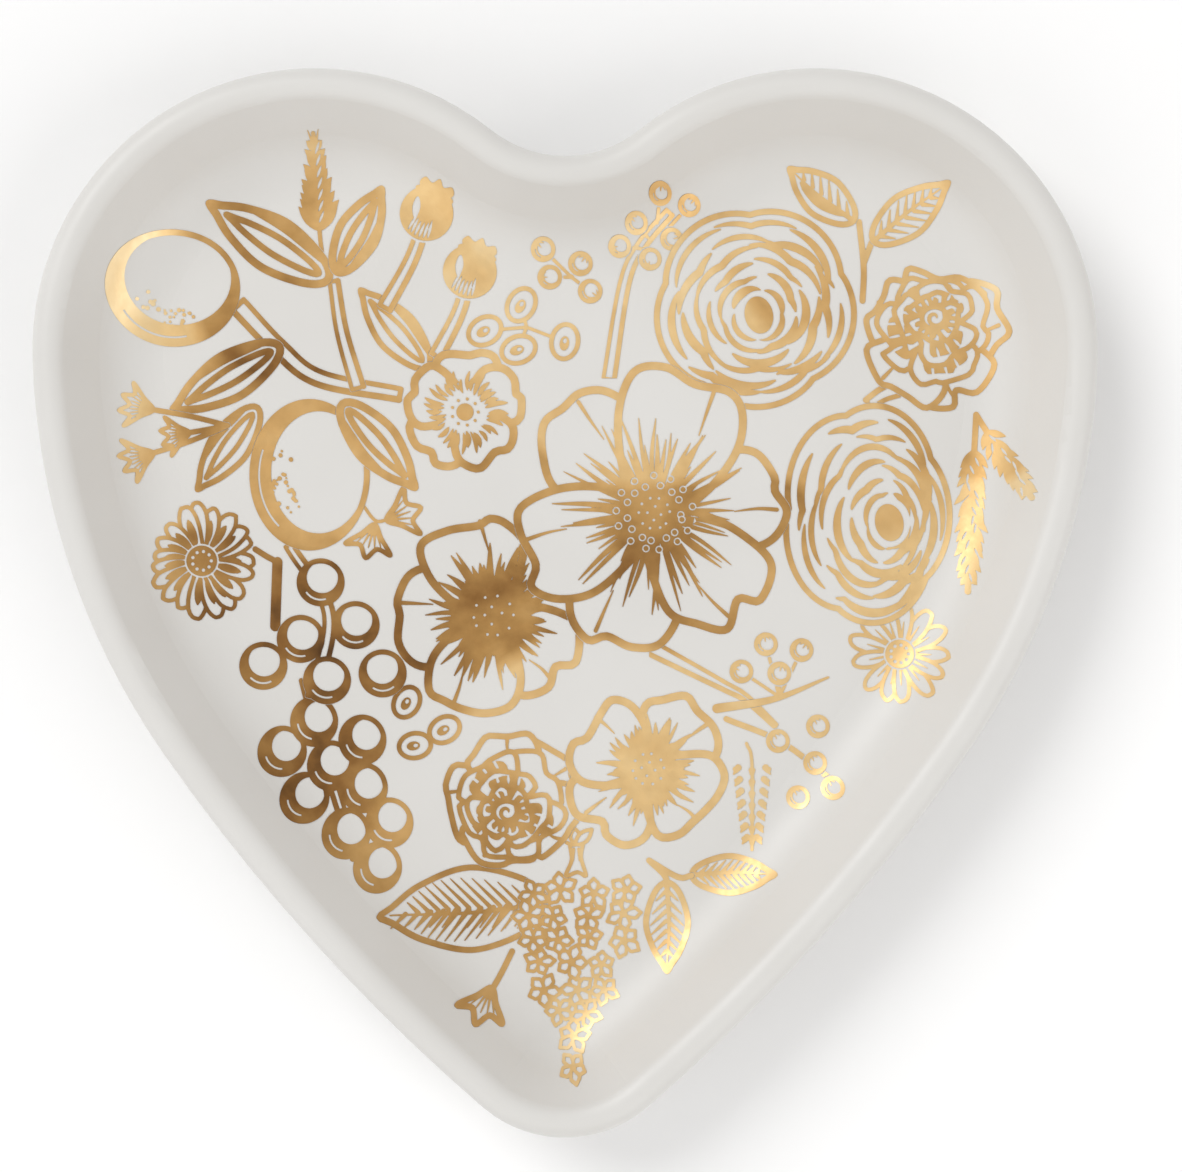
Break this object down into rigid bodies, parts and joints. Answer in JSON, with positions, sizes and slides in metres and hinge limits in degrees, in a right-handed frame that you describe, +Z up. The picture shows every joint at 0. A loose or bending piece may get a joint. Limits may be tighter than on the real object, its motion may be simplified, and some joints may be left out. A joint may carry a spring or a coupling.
{
  "type": "heart-shaped trinket dish",
  "caption": "Open heart-shaped porcelain trinket dish with a rounded rim, a recessed foot and a gold line-print bouquet inside.",
  "frame": {"origin": "middle of the plane the foot stands on, centred on the rim outline", "axes": "+Z up out of the dish, +Y towards the two lobes, -Y towards the tip, +X to the right seen from above"},
  "size_m": [0.115, 0.1154, 0.0133],
  "materials": {
    "bare_porcelain": "matte, unglazed",
    "glaze": "glossy white",
    "gold_print": "bright fired gold"
  },
  "bodies": {
    "root": {"foot_recess_glaze": "glaze", "glaze_coat": "glaze", "gold_anemone_large": "gold_print", "gold_anemone_left": "gold_print", "gold_anemone_low": "gold_print", "gold_bell_florets": "gold_print", "gold_bells_left": "gold_print", "gold_bells_upper": "gold_print", "gold_berry_knot": "gold_print", "gold_berry_sprig": "gold_print", "gold_berry_twig": "gold_print", "gold_berry_twig_low": "gold_print", "gold_branch_left": "gold_print", "gold_branch_right": "gold_print", "gold_bud": "gold_print", "gold_calyx": "gold_print", "gold_catkin": "gold_print", "gold_daisy_left": "gold_print", "gold_daisy_right": "gold_print", "gold_grape_stem": "gold_print", "gold_grapes_lower": "gold_print", "gold_grapes_upper": "gold_print", "gold_leaf_branch_lower": "gold_print", "gold_leaf_branch_upper": "gold_print", "gold_leaf_centre": "gold_print", "gold_leaf_lobe_inner": "gold_print", "gold_leaf_lobe_outer": "gold_print", "gold_leaf_low_middle": "gold_print", "gold_leaf_low_right": "gold_print", "gold_leaf_middle": "gold_print", "gold_leaf_notch_left": "gold_print", "gold_leaf_notch_right": "gold_print", "gold_leaf_stems_right": "gold_print", "gold_leaf_veined": "gold_print", "gold_lilac": "gold_print", "gold_orange_lower": "gold_print", "gold_orange_upper": "gold_print", "gold_pansy": "gold_print", "gold_plumes": "gold_print", "gold_poppy_pods": "gold_print", "gold_ranunculus_right": "gold_print", "gold_ranunculus_upper": "gold_print", "gold_rose_low": "gold_print", "gold_rose_right": "gold_print", "gold_rose_stem": "gold_print", "gold_stem_left": "gold_print", "gold_trumpets": "gold_print", "gold_wheat": "gold_print", "porcelain_body": "bare_porcelain"}
  },
  "joints": []
}
